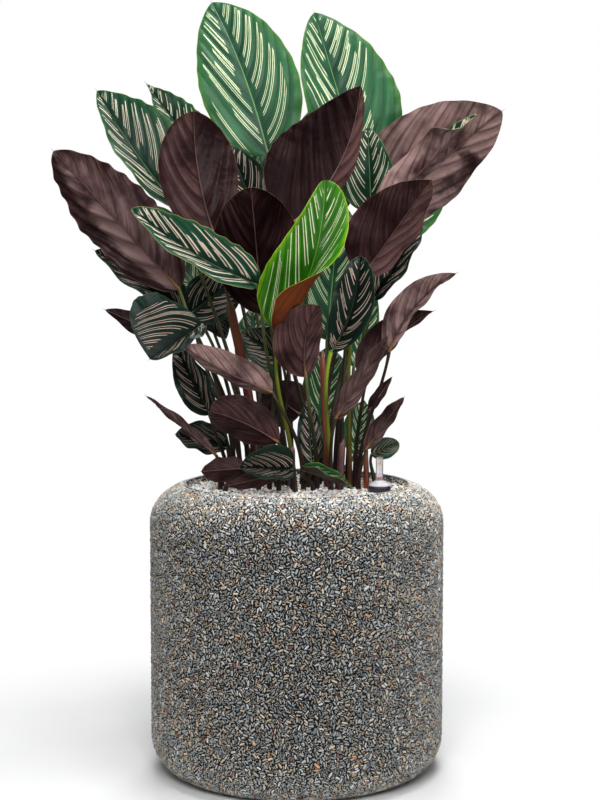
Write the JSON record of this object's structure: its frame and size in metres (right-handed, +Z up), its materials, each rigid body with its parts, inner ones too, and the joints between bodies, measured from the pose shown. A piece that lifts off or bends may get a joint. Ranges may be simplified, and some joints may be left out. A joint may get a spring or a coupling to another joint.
{
  "type": "potted calathea",
  "caption": "Tall pinstripe calathea with broad waved leaves, dark undersides and long petioles, in a barrel planter of stone chips with mineral granulate and a water gauge.",
  "frame": {"origin": "centre of the planter's underside, on the floor", "axes": "+Z up; the side the plant is arranged to be seen from faces -Y"},
  "size_m": [0.6399, 0.461, 1.1339],
  "materials": {
    "stone_chips": "matte",
    "liner": "matte",
    "granulate": "matte",
    "gauge_dark": "satin",
    "gauge_clear": "gloss",
    "gauge_red": "satin",
    "leaf_upper": "satin",
    "leaf_lime": "gloss",
    "leaf_under": "satin",
    "shoot": "satin"
  },
  "bodies": {
    "planted_pot": {"pot": "stone_chips", "liner": "liner", "substrate": "granulate", "gauge_base": "gauge_dark", "gauge_tube": "gauge_clear", "leaf_top_left": "leaf_upper", "leaf_top_right": "leaf_upper", "leaf_left_high": "leaf_upper", "leaf_left_behind": "leaf_upper", "leaf_left_dark": "leaf_under", "leaf_left_big": "leaf_under", "leaf_centre_big": "leaf_under", "leaf_centre_dark": "leaf_under", "leaf_lime": "leaf_lime", "leaf_centre_gap": "leaf_upper", "leaf_right_inner": "leaf_upper", "leaf_right_big": "leaf_under", "leaf_right_folded": "leaf_under", "leaf_right_front": "leaf_under", "leaf_right_striped": "leaf_upper", "leaf_left_striped": "leaf_upper", "leaf_left_curled": "leaf_upper", "leaf_left_small_dark": "leaf_under", "leaf_left_round": "leaf_upper", "leaf_left_low_striped": "leaf_upper", "leaf_left_front_dark": "leaf_under", "leaf_low_front_dark": "leaf_under", "leaf_low_left_narrow": "leaf_under", "leaf_low_left_striped": "leaf_upper", "leaf_low_left_dark": "leaf_under", "leaf_low_front_striped": "leaf_upper", "leaf_low_front_tip": "leaf_under", "leaf_low_right_turned": "leaf_upper", "leaf_mid_left_striped": "leaf_upper", "leaf_behind_left_a": "leaf_upper", "leaf_behind_left_b": "leaf_upper", "leaf_front_dark": "leaf_under", "leaf_front_striped": "leaf_upper", "leaf_right_low_dark": "leaf_under", "leaf_right_low_behind": "leaf_under", "leaf_right_narrow": "leaf_under", "leaf_low_right_dark": "leaf_under", "leaf_low_right_narrow": "leaf_under", "leaf_low_right_small": "leaf_upper", "leaf_centre_shaded": "leaf_under", "leaf_centre_low_striped": "leaf_upper", "leaf_back_left": "leaf_upper", "leaf_back_centre": "leaf_upper", "leaf_back_right": "leaf_upper", "leaf_back_far_left": "leaf_upper", "leaf_back_middle": "leaf_upper", "leaf_back_right_low": "leaf_upper", "leaf_back_left_low": "leaf_upper", "leaf_back_low": "leaf_upper", "leaf_back_low_right": "leaf_upper", "shoot_red": "shoot", "sheath_front": "shoot", "sheath_middle": "shoot", "sheath_right": "shoot"},
    "float": {"gauge_float": "gauge_red"}
  },
  "joints": [
    {"name": "float_rise", "type": "slide", "parent": "planted_pot", "child": "float", "axis": [0, 0, 1], "range_m": [0, 0.022]}
  ]
}
